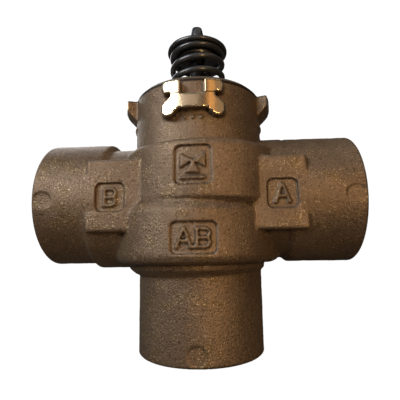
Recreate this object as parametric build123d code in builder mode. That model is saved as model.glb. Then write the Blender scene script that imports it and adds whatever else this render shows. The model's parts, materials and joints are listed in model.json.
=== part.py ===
from build123d import *
from math import radians, degrees, sin, cos, tan, pi
import os

# Three-way diverter valve, nominal size 15 (mm).
# Origin: centre of the common (AB) port face, +Z up the stem, port A towards +X.

# ---- driving dimensions -------------------------------------------------
face_to_face = 72.0             # port A face to port B face
port_height = 35.6              # AB port face up to the A-B axis
neck_height = 26.5              # A-B axis up to the rim of the neck
stem_reach = 47.9               # A-B axis up to the tip of the stem
stem_travel = 8.6               # stroke from B open to A open

side_boss_radius = 15.0
common_boss_radius = 14.8
neck_wall = 3.2
rim_chamfer = 1.0

upper_chamber_radius = 19.5
upper_chamber_shift = 1.0       # chamber centre leans towards port A
upper_chamber_top = 11.0        # above the A-B axis
upper_chamber_bottom = -1.3
lower_chamber_radius = 19.9
lower_chamber_shift = -0.8      # chamber centre leans towards port B
lower_chamber_top = -1.9
lower_chamber_bottom = -14.9
chamber_round = 1.6             # cast radius under the lower chamber
chamber_round_bevel = 0.5
upper_round = 1.12              # cast radius over the upper chamber
upper_round_bevel = 0.32
shoulder_cone_height = 1.9
shoulder_cone_depth = 1.0
collar_radius = 16.4
collar_depth = 1.2
collar_cone = 1.4

passage_a_radius = 14.6
passage_a_lift = 0.5
passage_a_end = 20.2            # |X| where the cast passage stops
boss_a_start = 20.9             # |X| where the boss starts
passage_b_radius = 14.8
passage_b_lift = -1.26
passage_b_end = 24.4
boss_b_start = 21.4
boss_cone = 1.0
pad_depth = 14.7                # centre plane out to the flat pads
pad_half_height = 8.05
pad_end = 24.0
pad_round = 0.7

thread_major_radius = 10.48     # G 1/2 internal thread
thread_length = 15.0
mouth_radius = 11.3
face_chamfer = 0.4
waterway_radius = 8.9

annulus_depth = 2.8             # beyond the widest land
upper_annulus_top = 8.6
web_top = -0.4
web_bottom = -3.4
lower_annulus_bottom = -12.2
foot_shoulder = -15.4
throat_radius = 9.0
duct_width = 8.0                # half width where a duct meets its annulus
duct_start = 21.5
duct_end = 12.6
duct_a_height = 4.1
duct_a_rise = 4.1
duct_b_height = 3.9
duct_b_drop = 8.2

lower_land_step = 0.6           # lands stand out from the cage wall
middle_land_step = 1.0
upper_land_step = 1.4
flange_step = 0.6               # neck bore beyond the upper land
flange_seat = 13.0
land_clearance = 0.05
slide_clearance = 0.05          # radial, every sliding fit
seal_clearance = 0.03
face_gap = 0.05                 # between stacked flat faces

cage_bore_radius = 8.6
cage_wall = 2.0
cage_ledge_width = 0.8
cage_flange_thickness = 1.4
window_height = 4.4
window_width = 10.4
upper_window_bottom = 0.2
cage_seal_section = 0.95

spool_wall = 2.15
spool_half_length = 4.6
spool_seal_section = 0.7
spool_seal_offset = 3.1
spoke_overlap = 0.8
spool_hub_radius = 3.4
spool_hub_height = 4.0
spoke_thickness = 1.5
spoke_height = 3.0
spoke_count = 3

stem_radius = 2.0
stem_screw_radius = 1.5
stem_top_radius = 1.85
stem_tip_radius = 1.4
stem_cone_length = 2.2
stem_collar_radius = 3.4
stem_collar_height = 1.4
nut_width = 5.5
nut_height = 2.4
washer_radius = 3.3
washer_thickness = 0.6
stem_end_spare = 0.5
stem_end_chamfer = 0.4

nose_clearance = 0.4            # bonnet nose inside the cage
bonnet_nose_bottom = 9.45
bonnet_top = 19.8
bonnet_floor = 1.55
packing_clearance = 0.15
packing_top = 16.0
gland_thread_wall = 1.5
pocket_clearance = 1.0          # spring pocket around the spring
spring_pocket_floor = 17.2
bonnet_seal_height = 16.0
bonnet_seal_section = 0.95
stem_seal_section = 0.9
backup_thickness = 0.7
bush_wall = 0.85
bush_flange = 0.5
gland_wall = 1.1                # wiper out to the nut's flats
gland_top = 19.6
wiper_width = 1.55
wiper_height = 0.9

ring_bottom = 19.85
ring_thickness = 1.2
ring_bite = 0.7                 # snap ring into the neck wall
ring_width = 1.9
ring_groove_clearance = 0.1
ring_gap = 30.0                 # degrees
ring_ear_radius = 1.7
ring_ear_inset = 0.68
ring_ear_hole = 0.75

seat_washer_margin = 0.3        # washer inside its pocket
seat_washer_clearance = 0.32    # washer around the gland nut's corners
seat_washer_thickness = 0.6
spring_clearance = 0.37         # spring around the gland nut's corners
wire_radius = 0.8
spring_turns = 6.0
cap_bottom = 40.2               # above the A-B axis, at rest
cap_overhang = 0.6              # cap beyond the spring
cap_thickness = 1.1
cap_round = 0.45
cap_hub_clearance = 0.4
cap_hub_height = 2.0
clip_radius = 3.6
clip_thickness = 0.7
clip_groove_radius = 1.2
clip_slot = 2.2

lug_height = 2.0                # front and rear lugs beyond the neck
lug_top = 24.5
lug_corner = 0.8
lug_bar_taper = 0.5
lug_bar_bottom = 21.8
lug_waist_bottom = 20.9
lug_shoulder = 19.3
lug_foot = 16.5
lug_arch = 18.1
lug_half_width = 6.8
lug_waist_half_width = 4.9
lug_slot_half_width = 2.6
lug_slot_bottom = 21.3
lug_arch_half_width = 4.0
lug_arch_taper = 0.8
side_lug_height = 2.6
side_lug_corner = 0.3
side_lug_top = 25.2
side_lug_heel = 22.6
side_lug_bottom = 19.9
side_lug_angle = 42.0
bead_size = 0.45
bead_height = 17.9
bead_half_height = 0.7

recess_depth = 0.5
mark_overrun = 1.0              # cutters start this far outside the wall
stroke_width = 0.5
serif_length = 0.8
letter_height = 3.6
letter_a_width = 2.9
letter_b_width = 2.5
letter_apex = 0.4
crossbar_height = 1.2
letter_pitch = 3.9
frame_round = 1.2
side_frame_width = 6.4
side_frame_height = 6.4
side_frame_centre = 18.5
side_frame_lift = -0.4
common_frame_width = 9.4
common_frame_height = 6.5
common_frame_drop = 9.6
flow_frame_width = 7.7
flow_frame_height = 8.2
flow_frame_rise = 5.2
flow_mark_radius = 1.7
flow_mark_lift = 0.9
flow_mark_bar = 3.6
flow_bar_width = 5.1
spot_radius = 2.15
spot_inset = 2.4
side_spot_drop = 0.9
spot_depth = 0.28
pip_radius = 0.45
pip_spacing = 1.7
pip_drop = 10.0                 # rim down to the row of pips
pip_count = 3

# ---- levels worked out from them ---------------------------------------
axis_z = port_height
half_length = face_to_face / 2
rim_z = axis_z + neck_height
cage_wall_radius = cage_bore_radius + cage_wall
cage_throat_radius = cage_bore_radius - cage_ledge_width
lower_land_radius = cage_wall_radius + lower_land_step
middle_land_radius = cage_wall_radius + middle_land_step
upper_land_radius = cage_wall_radius + upper_land_step
annulus_radius = upper_land_radius + annulus_depth
neck_bore_radius = upper_land_radius + flange_step
neck_radius = neck_bore_radius + neck_wall
lug_radius = neck_radius + lug_height
side_lug_radius = neck_radius + side_lug_height
bead_radius = neck_radius + bead_size
ring_outer_radius = neck_bore_radius + ring_bite
ring_inner_radius = ring_outer_radius - ring_width
ring_groove_radius = ring_outer_radius + ring_groove_clearance
web_middle = (web_top + web_bottom) / 2
upper_window_middle = upper_window_bottom + window_height / 2
lower_window_middle = upper_window_middle - stem_travel
spool_middle = axis_z + upper_window_middle
spool_radius = cage_bore_radius - slide_clearance
spool_bore_radius = spool_radius - spool_wall
stem_bore = stem_radius + slide_clearance
packing_radius = stem_bore + 2 * stem_seal_section + packing_clearance
gland_thread_radius = packing_radius + gland_thread_wall
bush_radius = stem_bore + bush_wall
wiper_radius = stem_bore + wiper_width
gland_half_width = wiper_radius + gland_wall
gland_corner_radius = gland_half_width / cos(pi / 6)
spring_inner_radius = gland_corner_radius + spring_clearance
spring_mean_radius = spring_inner_radius + wire_radius
spring_outer_radius = spring_mean_radius + wire_radius
spring_pocket_radius = spring_outer_radius + pocket_clearance
seat_washer_radius = spring_pocket_radius - seat_washer_margin
seat_washer_bore = gland_corner_radius + seat_washer_clearance
cap_radius = spring_outer_radius + cap_overhang
cap_hub_radius = spring_inner_radius - cap_hub_clearance
bonnet_nose_radius = cage_bore_radius - nose_clearance
cage_ledge = axis_z + lower_window_middle - spool_half_length - face_gap
hub_bottom = spool_middle - spool_hub_height / 2
hub_top = spool_middle + spool_hub_height / 2
bonnet_nose_z = axis_z + bonnet_nose_bottom
packing_floor = bonnet_nose_z + bonnet_floor
spring_floor = axis_z + spring_pocket_floor + seat_washer_thickness + face_gap
cap_z = axis_z + cap_bottom
cap_top = cap_z + cap_thickness
stem_tip = axis_z + stem_reach


def profile(points):
    """Closed outline on the XZ plane, from (radius, height) pairs."""
    with BuildSketch(Plane.XZ) as outline:
        with BuildLine():
            Polyline(*points, close=True)
        make_face()
    return outline.sketch


def band(inner, outer, bottom, top):
    """Rectangle on the XZ plane for a plain ring."""
    return profile([(inner, bottom), (outer, bottom), (outer, top), (inner, top)])


def seal_ring(outer_radius, section, height):
    """An O-ring: a round section turned about the stem axis."""
    with BuildPart() as ring:
        with BuildSketch(Plane.XZ):
            with Locations((outer_radius - section, height)):
                Circle(section)
        revolve(axis=Axis.Z)
    return ring


def seal_groove(seal_outer_radius, section, height):
    """Section of the groove that an O-ring lies in, open outwards."""
    floor = seal_outer_radius - 2 * section - seal_clearance
    half = section + seal_clearance
    return band(floor, seal_outer_radius + section, height - half, height + half)


# ---- valve body: one bronze casting with machined ports, bores and lugs ----
def side_boss(side, start, passage_radius, passage_lift, passage_end):
    """Port boss and the cast passage behind it, turned along X to one side."""
    passage_z = axis_z + passage_lift
    boss = [
        (side * (start - boss_cone), axis_z),
        (side * (start - boss_cone), axis_z + side_boss_radius - boss_cone),
        (side * start, axis_z + side_boss_radius),
        (side * (half_length - face_chamfer), axis_z + side_boss_radius),
        (side * half_length, axis_z + side_boss_radius - face_chamfer),
        (side * half_length, axis_z),
    ]
    passage = [
        (0, passage_z),
        (0, passage_z + passage_radius),
        (side * passage_end, passage_z + passage_radius),
        (side * (passage_end + boss_cone), passage_z + passage_radius - boss_cone),
        (side * (passage_end + boss_cone), passage_z),
    ]
    with BuildPart() as casting:
        revolve(profile(boss), axis=Axis((0, 0, axis_z), (1, 0, 0)))
        revolve(profile(passage), axis=Axis((0, 0, passage_z), (1, 0, 0)))
    return casting.part


def chamber(shift, outline):
    """Chamber of the casting, turned about its own shifted axis."""
    moved = [(x + shift, axis_z + z) for x, z in outline]
    with BuildPart() as casting:
        revolve(profile(moved), axis=Axis((shift, 0, 0), (0, 0, 1)))
    return casting.part


def column(radius, shift, bottom, top):
    """Upright cylinder, also used to trim cast marks to a curved wall."""
    with BuildPart() as casting:
        with BuildSketch(Plane((shift, 0, bottom))):
            Circle(radius)
        extrude(amount=top - bottom)
    return casting.part


def side_pads():
    """Flat pads, front and back, that carry the port letters."""
    with BuildPart() as pads:
        with BuildSketch(Plane.XZ.offset(-pad_depth)):
            with Locations((0, axis_z)):
                Rectangle(2 * pad_end, 2 * pad_half_height)
        extrude(amount=2 * pad_depth)
        fillet(pads.edges().filter_by(Axis.X), pad_round)
        fillet(pads.faces().filter_by(Axis.X).edges().filter_by(Axis.Z), pad_round)
    return pads.part


def face_lugs():
    """Front and rear bayonet lugs: two bars, a waist and a foot with an arch."""
    edge = lug_half_width
    arch = lug_arch_half_width
    half = [
        (lug_slot_half_width, lug_slot_bottom),
        (lug_slot_half_width, lug_top),
        (edge - lug_corner, lug_top),
        (edge, lug_top - lug_corner),
        (edge - lug_bar_taper, lug_bar_bottom),
        (lug_waist_half_width, lug_bar_bottom),
        (lug_waist_half_width, lug_waist_bottom),
        (edge, lug_shoulder),
        (edge, lug_foot + lug_corner),
        (edge - lug_corner, lug_foot),
        (arch + lug_corner, lug_foot),
        (arch, lug_foot + lug_corner),
        (arch - lug_arch_taper, lug_arch),
    ]
    right = [(x, axis_z + z) for x, z in half]
    left = [(-x, z) for x, z in reversed(right)]
    with BuildPart() as lugs:
        extrude(profile(right + left), amount=lug_radius, both=True)
        add(column(lug_radius, 0, axis_z, rim_z), mode=Mode.INTERSECT)
    return lugs.part


def side_lug(direction):
    """Left or right bayonet lug with a tapered heel, and a bead under it."""
    root = neck_radius - neck_wall / 2
    lug = [
        (root, side_lug_top),
        (side_lug_radius - side_lug_corner, side_lug_top),
        (side_lug_radius, side_lug_top - side_lug_corner),
        (side_lug_radius, side_lug_heel),
        (neck_radius, side_lug_bottom),
        (root, side_lug_bottom),
    ]
    bead = [
        (root, bead_height + bead_half_height),
        (neck_radius, bead_height + bead_half_height),
        (bead_radius, bead_height),
        (neck_radius, bead_height - bead_half_height),
        (root, bead_height - bead_half_height),
    ]
    start = 90 - direction * 90 - side_lug_angle / 2
    with BuildPart() as lugs:
        for outline in (lug, bead):
            raised = profile([(x, axis_z + z) for x, z in outline])
            revolve(raised.rotate(Axis.Z, start), axis=Axis.Z, revolution_arc=side_lug_angle)
    return lugs.part


def sunk_panel(width, height, centre_x, centre_z, wall, depth):
    """Prism of a rounded panel, from outside the front wall inwards."""
    with BuildPart() as panel:
        with BuildSketch(Plane((centre_x, -wall, centre_z), x_dir=(1, 0, 0), z_dir=(0, -1, 0))):
            RectangleRounded(width, height, frame_round)
        extrude(amount=-depth)
    return panel.part


def letter_face(letter):
    """A cast letter with short serifs, as a sketch about its own middle."""
    top = letter_height / 2
    lobe = letter_height / 4
    apex = letter_apex / 2
    half = {"A": letter_a_width / 2, "B": letter_b_width / 2}[letter]
    bowl = half - lobe
    with BuildSketch() as face:
        with BuildLine():
            if letter == "A":
                Polyline((-half, -top), (-apex, top), (apex, top), (half, -top))
            if letter == "B":
                Line((-half, -top), (-half, top))
                for level in (-top, 0, top):
                    Line((-half, level), (bowl, level))
                CenterArc((bowl, -lobe), lobe, -90, 180)
                CenterArc((bowl, lobe), lobe, -90, 180)
        trace(line_width=stroke_width)
        if letter == "A":
            with Locations((0, crossbar_height - top)):
                Rectangle(half, stroke_width)
        for foot in {"A": ((-half, -top), (half, -top)), "B": ((-half, -top), (-half, top))}[letter]:
            with Locations(foot):
                Rectangle(serif_length, stroke_width)
    return face.sketch


def raised_text(text, centre_x, centre_z, wall, depth):
    """Cast letters facing the front, as prisms that start outside the wall."""
    with BuildPart() as letters:
        for index, letter in enumerate(text):
            x = centre_x + (index - (len(text) - 1) / 2) * letter_pitch
            plane = Plane((x, -wall, centre_z), x_dir=(1, 0, 0), z_dir=(0, -1, 0))
            with BuildSketch(plane):
                add(letter_face(letter))
            extrude(amount=-depth)
    return letters.part


def flow_symbol(centre_z, wall, depth):
    """Three-way flow mark: three triangles that meet, over a short bar."""
    with BuildPart() as symbol:
        plane = Plane((0, -wall, centre_z + flow_mark_lift), x_dir=(1, 0, 0), z_dir=(0, -1, 0))
        with BuildSketch(plane):
            for turn in (0, 180, 270):
                with PolarLocations(flow_mark_radius + seal_clearance, 1, start_angle=turn):
                    RegularPolygon(flow_mark_radius, 3, rotation=180)
            with Locations((0, -flow_mark_bar)):
                Rectangle(flow_bar_width, stroke_width)
        extrude(amount=-depth)
    return symbol.part


def duct(side, height, lift):
    """Waterway from a side port up or down to its annulus."""
    with BuildPart() as hollow:
        with BuildSketch(Plane((side * duct_start, 0, axis_z), x_dir=(0, 1, 0), z_dir=(side, 0, 0))):
            Ellipse(waterway_radius, waterway_radius)
        with BuildSketch(Plane((side * duct_end, 0, axis_z + lift), x_dir=(0, 1, 0), z_dir=(side, 0, 0))):
            Ellipse(duct_width, height)
        loft()
    return hollow.part


def port_hole(centre, outward):
    """Threaded port: a bore at the thread's major diameter, with a cone mouth."""
    with BuildPart() as hollow:
        with BuildSketch(Plane(centre, z_dir=outward)):
            Circle(thread_major_radius)
        extrude(amount=-thread_length)
        with BuildSketch(Plane(centre, z_dir=outward)):
            Circle(mouth_radius)
        extrude(amount=thread_major_radius - mouth_radius, taper=45)
    return hollow.part


panel_z = axis_z + side_frame_lift
common_z = axis_z - common_frame_drop
flow_z = axis_z + flow_frame_rise
mark_reach = pad_depth / 2
pad_outside = pad_depth + mark_overrun
pad_cut = recess_depth + mark_overrun
lower_outside = lower_chamber_radius + mark_overrun
upper_outside = upper_chamber_radius + mark_overrun
trim_low = axis_z + lower_chamber_bottom
lower_wall = column(lower_chamber_radius - recess_depth, lower_chamber_shift, trim_low, rim_z)
lower_face = column(lower_chamber_radius - seal_clearance, lower_chamber_shift, trim_low, rim_z)
upper_wall = column(upper_chamber_radius - recess_depth, upper_chamber_shift, trim_low, rim_z)
upper_face = column(upper_chamber_radius - seal_clearance, upper_chamber_shift, trim_low, rim_z)

with BuildPart() as valve_body:
    add(column(common_boss_radius, 0, 0, axis_z))
    add(column(neck_radius, 0, axis_z, rim_z))
    chamfer(valve_body.faces().sort_by(Axis.Z)[-1].edges(), rim_chamfer)
    chamfer(valve_body.faces().sort_by(Axis.Z)[0].edges(), face_chamfer)
    add(chamber(lower_chamber_shift, [
        (0, lower_chamber_bottom - collar_depth - collar_cone),
        (common_boss_radius, lower_chamber_bottom - collar_depth - collar_cone),
        (collar_radius, lower_chamber_bottom - collar_depth),
        (collar_radius, lower_chamber_bottom),
        (lower_chamber_radius - chamber_round, lower_chamber_bottom),
        (lower_chamber_radius - chamber_round_bevel, lower_chamber_bottom + chamber_round_bevel),
        (lower_chamber_radius, lower_chamber_bottom + chamber_round),
        (lower_chamber_radius, lower_chamber_top - shoulder_cone_height),
        (lower_chamber_radius - shoulder_cone_depth, lower_chamber_top),
        (0, lower_chamber_top),
    ]))
    add(chamber(upper_chamber_shift, [
        (0, upper_chamber_bottom - shoulder_cone_depth),
        (upper_chamber_radius - shoulder_cone_depth, upper_chamber_bottom - shoulder_cone_depth),
        (upper_chamber_radius, upper_chamber_bottom),
        (upper_chamber_radius, upper_chamber_top - upper_round),
        (upper_chamber_radius - upper_round_bevel, upper_chamber_top - upper_round_bevel),
        (upper_chamber_radius - upper_round, upper_chamber_top),
        (0, upper_chamber_top),
    ]))
    add(side_boss(1, boss_a_start, passage_a_radius, passage_a_lift, passage_a_end))
    add(side_boss(-1, boss_b_start, passage_b_radius, passage_b_lift, passage_b_end))
    add(side_pads())
    add(face_lugs())
    add(side_lug(1))
    add(side_lug(-1))
    # cast marks: sunk panels first, then the raised letters and flow symbol
    for x in (-side_frame_centre, side_frame_centre):
        panel = sunk_panel(side_frame_width, side_frame_height, x, panel_z, pad_outside, pad_cut)
        add(panel, mode=Mode.SUBTRACT)
    panel = sunk_panel(common_frame_width, common_frame_height, 0, common_z, lower_outside, mark_reach)
    add(panel - lower_wall, mode=Mode.SUBTRACT)
    panel = sunk_panel(flow_frame_width, flow_frame_height, 0, flow_z, upper_outside, mark_reach)
    add(panel - upper_wall, mode=Mode.SUBTRACT)
    add(raised_text("B", -side_frame_centre, panel_z, pad_depth - seal_clearance, pad_cut))
    add(raised_text("A", side_frame_centre, panel_z, pad_depth - seal_clearance, pad_cut))
    add(raised_text("AB", 0, common_z, lower_outside, mark_reach) & lower_face)
    add(flow_symbol(flow_z, upper_outside, mark_reach) & upper_face)
    # casting pips under the front lug
    for index in range(pip_count):
        angle = (index - (pip_count - 1) / 2) * pip_spacing / neck_radius
        spot = (neck_radius * sin(angle), -neck_radius * cos(angle), rim_z - pip_drop)
        with Locations(spot):
            Sphere(pip_radius)
    # sunk round spots beside the port faces
    for spot, radius in (
        ((half_length - spot_inset, axis_z - side_spot_drop), side_boss_radius),
        ((-half_length + spot_inset, axis_z - side_spot_drop), side_boss_radius),
        ((0, spot_inset), common_boss_radius),
    ):
        with BuildSketch(Plane.XZ.offset(radius - spot_depth)):
            with Locations(spot):
                Circle(spot_radius)
        extrude(amount=mark_overrun, mode=Mode.SUBTRACT)
    # machined bores, from the rim down
    revolve(profile([
        (0, rim_z),
        (neck_bore_radius + rim_chamfer / 2, rim_z),
        (neck_bore_radius, rim_z - rim_chamfer / 2),
        (neck_bore_radius, axis_z + ring_bottom + ring_thickness + face_gap * 2),
        (ring_groove_radius, axis_z + ring_bottom + ring_thickness + face_gap * 2),
        (ring_groove_radius, axis_z + ring_bottom - face_gap),
        (neck_bore_radius, axis_z + ring_bottom - face_gap),
        (neck_bore_radius, axis_z + flange_seat),
        (upper_land_radius, axis_z + flange_seat),
        (upper_land_radius, axis_z + upper_annulus_top),
        (annulus_radius, axis_z + upper_annulus_top),
        (annulus_radius, axis_z + web_top),
        (middle_land_radius, axis_z + web_top),
        (middle_land_radius, axis_z + web_bottom),
        (annulus_radius, axis_z + web_bottom),
        (annulus_radius, axis_z + lower_annulus_bottom),
        (lower_land_radius, axis_z + lower_annulus_bottom),
        (lower_land_radius, axis_z + foot_shoulder),
        (throat_radius, axis_z + foot_shoulder),
        (throat_radius, 0),
        (0, 0),
    ]), axis=Axis.Z, mode=Mode.SUBTRACT)
    add(duct(1, duct_a_height, duct_a_rise), mode=Mode.SUBTRACT)
    add(duct(-1, duct_b_height, -duct_b_drop), mode=Mode.SUBTRACT)
    add(port_hole((half_length, 0, axis_z), (1, 0, 0)), mode=Mode.SUBTRACT)
    add(port_hole((-half_length, 0, axis_z), (-1, 0, 0)), mode=Mode.SUBTRACT)
    add(port_hole((0, 0, 0), (0, 0, -1)), mode=Mode.SUBTRACT)


# ---- cartridge: a moulded cage with three sealed lands and two window rows ----
foot_radius = lower_land_radius - land_clearance
middle_radius = middle_land_radius - land_clearance
head_radius = upper_land_radius - land_clearance
foot_middle = (foot_shoulder + lower_annulus_bottom) / 2
head_middle = (flange_seat + upper_annulus_top) / 2
cage_seals = {
    "cage_seal_lower": (lower_land_radius - seal_clearance, foot_middle),
    "cage_seal_middle": (middle_land_radius - seal_clearance, web_middle),
    "cage_seal_upper": (upper_land_radius - seal_clearance, head_middle),
}

with BuildPart() as cage:
    revolve(profile([
        (cage_throat_radius, axis_z + foot_shoulder + face_gap),
        (foot_radius, axis_z + foot_shoulder + face_gap),
        (foot_radius, axis_z + lower_annulus_bottom),
        (cage_wall_radius, axis_z + lower_annulus_bottom),
        (cage_wall_radius, axis_z + web_bottom),
        (middle_radius, axis_z + web_bottom),
        (middle_radius, axis_z + web_top),
        (cage_wall_radius, axis_z + web_top),
        (cage_wall_radius, axis_z + upper_annulus_top),
        (head_radius, axis_z + upper_annulus_top),
        (head_radius, axis_z + flange_seat + face_gap),
        (neck_bore_radius - slide_clearance, axis_z + flange_seat + face_gap),
        (neck_bore_radius - slide_clearance, axis_z + flange_seat + cage_flange_thickness),
        (cage_bore_radius, axis_z + flange_seat + cage_flange_thickness),
        (cage_bore_radius, cage_ledge),
        (cage_throat_radius, cage_ledge),
    ]), axis=Axis.Z)
    for seal_radius, middle in cage_seals.values():
        groove = seal_groove(seal_radius, cage_seal_section, axis_z + middle)
        revolve(groove, axis=Axis.Z, mode=Mode.SUBTRACT)
    for middle in (upper_window_middle, lower_window_middle):
        with Locations((0, 0, axis_z + middle)):
            Box(2 * annulus_radius, window_width, window_height, mode=Mode.SUBTRACT)
            Box(window_width, 2 * annulus_radius, window_height, mode=Mode.SUBTRACT)

cage_rings = {
    name: seal_ring(seal_radius, cage_seal_section, axis_z + middle)
    for name, (seal_radius, middle) in cage_seals.items()
}


# ---- stem unit: spool, its seals and nut, stem, spring cap and clip ----
spool_seals = {
    "spool_seal_lower": spool_middle - spool_seal_offset,
    "spool_seal_upper": spool_middle + spool_seal_offset,
}

spool_bottom = spool_middle - spool_half_length
spool_top = spool_middle + spool_half_length

with BuildPart() as spool:
    revolve(band(spool_bore_radius, spool_radius, spool_bottom, spool_top), axis=Axis.Z)
    revolve(band(stem_screw_radius + seal_clearance, spool_hub_radius, hub_bottom, hub_top), axis=Axis.Z)
    with BuildSketch(Plane.XY.offset(spool_middle - spoke_height / 2)):
        with PolarLocations((spool_hub_radius + spool_bore_radius) / 2, spoke_count):
            Rectangle(spool_bore_radius - spool_hub_radius + spoke_overlap, spoke_thickness)
    extrude(amount=spoke_height)
    for height in spool_seals.values():
        groove = seal_groove(spool_radius, spool_seal_section, height)
        revolve(groove, axis=Axis.Z, mode=Mode.SUBTRACT)

spool_rings = {
    name: seal_ring(spool_radius, spool_seal_section, height)
    for name, height in spool_seals.items()
}

washer_top = hub_bottom
nut_top = washer_top - washer_thickness
stem_bottom = nut_top - nut_height - stem_end_spare
collar_top = bonnet_nose_z - face_gap
clip_bottom = cap_top + face_gap

with BuildPart() as stem:
    revolve(profile([
        (0, stem_bottom),
        (stem_screw_radius - stem_end_chamfer, stem_bottom),
        (stem_screw_radius, stem_bottom + stem_end_chamfer),
        (stem_screw_radius, hub_top),
        (stem_radius, hub_top),
        (stem_radius, collar_top - stem_collar_height),
        (stem_collar_radius, collar_top - stem_collar_height),
        (stem_collar_radius, collar_top),
        (stem_radius, collar_top),
        (stem_radius, cap_z - cap_hub_height),
        (stem_top_radius, cap_z - cap_hub_height),
        (stem_top_radius, clip_bottom),
        (clip_groove_radius, clip_bottom),
        (clip_groove_radius, clip_bottom + clip_thickness + face_gap),
        (stem_top_radius, clip_bottom + clip_thickness + face_gap),
        (stem_top_radius, stem_tip - stem_cone_length),
        (stem_tip_radius, stem_tip),
        (0, stem_tip),
    ]), axis=Axis.Z)

with BuildPart() as spool_washer:
    revolve(band(stem_screw_radius + slide_clearance, washer_radius, nut_top, washer_top), axis=Axis.Z)

with BuildPart() as spool_nut:
    with BuildSketch(Plane.XY.offset(nut_top - nut_height)):
        RegularPolygon(nut_width / 2, 6, major_radius=False)
        Circle(stem_screw_radius + seal_clearance, mode=Mode.SUBTRACT)
    extrude(amount=nut_height)
    chamfer(spool_nut.faces().sort_by(Axis.Z)[0].outer_wire().edges(), stem_end_chamfer)

with BuildPart() as spring_cap:
    revolve(band(stem_top_radius + slide_clearance, cap_radius, cap_z, cap_top), axis=Axis.Z)
    fillet(spring_cap.edges().filter_by(GeomType.CIRCLE).sort_by(SortBy.RADIUS)[-2:], cap_round)
    revolve(
        band(stem_top_radius + slide_clearance, cap_hub_radius, cap_z - cap_hub_height + face_gap, cap_z),
        axis=Axis.Z,
    )

with BuildPart() as stem_clip:
    with BuildSketch(Plane.XY.offset(clip_bottom)):
        Circle(clip_radius)
        Circle(clip_groove_radius + seal_clearance, mode=Mode.SUBTRACT)
        with Locations((0, -clip_radius / 2)):
            Rectangle(clip_slot, clip_radius, mode=Mode.SUBTRACT)
    extrude(amount=clip_thickness)


# ---- bonnet: brass guide plug with its seal, packing, gland and snap ring ----
packing_z = axis_z + packing_top
pocket_z = axis_z + spring_pocket_floor
bonnet_base = axis_z + flange_seat + cage_flange_thickness + face_gap
bonnet_rim = axis_z + bonnet_top
bonnet_radius = neck_bore_radius - land_clearance
bonnet_seal_radius = neck_bore_radius - seal_clearance

with BuildPart() as bonnet:
    revolve(profile([
        (stem_bore, bonnet_nose_z),
        (bonnet_nose_radius, bonnet_nose_z),
        (bonnet_nose_radius, bonnet_base),
        (bonnet_radius, bonnet_base),
        (bonnet_radius, bonnet_rim),
        (spring_pocket_radius, bonnet_rim),
        (spring_pocket_radius, pocket_z),
        (gland_thread_radius, pocket_z),
        (gland_thread_radius, packing_z),
        (packing_radius, packing_z),
        (packing_radius, packing_floor),
        (stem_bore, packing_floor),
    ]), axis=Axis.Z)
    groove = seal_groove(bonnet_seal_radius, bonnet_seal_section, axis_z + bonnet_seal_height)
    revolve(groove, axis=Axis.Z, mode=Mode.SUBTRACT)

bonnet_seal = seal_ring(bonnet_seal_radius, bonnet_seal_section, axis_z + bonnet_seal_height)

stem_seal_radius = stem_bore + 2 * stem_seal_section
lower_seal_z = packing_floor + face_gap + stem_seal_section
backup_z = lower_seal_z + stem_seal_section + face_gap
upper_seal_z = backup_z + backup_thickness + face_gap + stem_seal_section
bush_z = upper_seal_z + stem_seal_section + face_gap
stem_seal_lower = seal_ring(stem_seal_radius, stem_seal_section, lower_seal_z)
stem_seal_upper = seal_ring(stem_seal_radius, stem_seal_section, upper_seal_z)

backup_radius = packing_radius - slide_clearance

with BuildPart() as backup_ring:
    revolve(band(stem_bore, backup_radius, backup_z, backup_z + backup_thickness), axis=Axis.Z)

gland_crown = axis_z + gland_top
wiper_z = gland_crown - wiper_height - face_gap
bush_top = wiper_z - face_gap

with BuildPart() as gland_bush:
    revolve(profile([
        (stem_bore, bush_z),
        (packing_radius - slide_clearance, bush_z),
        (packing_radius - slide_clearance, bush_z + bush_flange),
        (bush_radius, bush_z + bush_flange),
        (bush_radius, bush_top),
        (stem_bore, bush_top),
    ]), axis=Axis.Z)

gland_base = max(packing_z, bush_z + bush_flange) + face_gap
with BuildPart() as gland_nut:
    revolve(band(0, gland_thread_radius - seal_clearance, gland_base, pocket_z), axis=Axis.Z)
    with BuildSketch(Plane.XY.offset(pocket_z)):
        RegularPolygon(gland_half_width, 6, major_radius=False)
    extrude(amount=gland_crown - pocket_z)
    revolve(profile([
        (0, gland_base),
        (bush_radius + slide_clearance, gland_base),
        (bush_radius + slide_clearance, bush_top + face_gap / 2),
        (wiper_radius + slide_clearance, bush_top + face_gap / 2),
        (wiper_radius + slide_clearance, gland_crown),
        (0, gland_crown),
    ]), axis=Axis.Z, mode=Mode.SUBTRACT)

with BuildPart() as wiper_ring:
    revolve(band(stem_bore, wiper_radius, wiper_z, wiper_z + wiper_height), axis=Axis.Z)

ring_z = axis_z + ring_bottom
with BuildPart() as retaining_ring:
    with BuildSketch(Plane.XY.offset(ring_z)):
        Circle(ring_outer_radius)
        Circle(ring_inner_radius, mode=Mode.SUBTRACT)
        with BuildLine():
            far = ring_outer_radius * 2
            spread = far * tan(radians(ring_gap / 2))
            Polyline((0, 0), (far, -spread), (far, spread), close=True)
        make_face(mode=Mode.SUBTRACT)
        ear_turn = ring_gap / 2 + degrees(ring_ear_radius / ring_inner_radius)
        for turn in (-ear_turn, ear_turn):
            with PolarLocations(ring_inner_radius - ring_ear_inset, 1, start_angle=turn):
                Circle(ring_ear_radius)
        for turn in (-ear_turn, ear_turn):
            with PolarLocations(ring_inner_radius - ring_ear_inset, 1, start_angle=turn):
                Circle(ring_ear_hole, mode=Mode.SUBTRACT)
    extrude(amount=ring_thickness)


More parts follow.
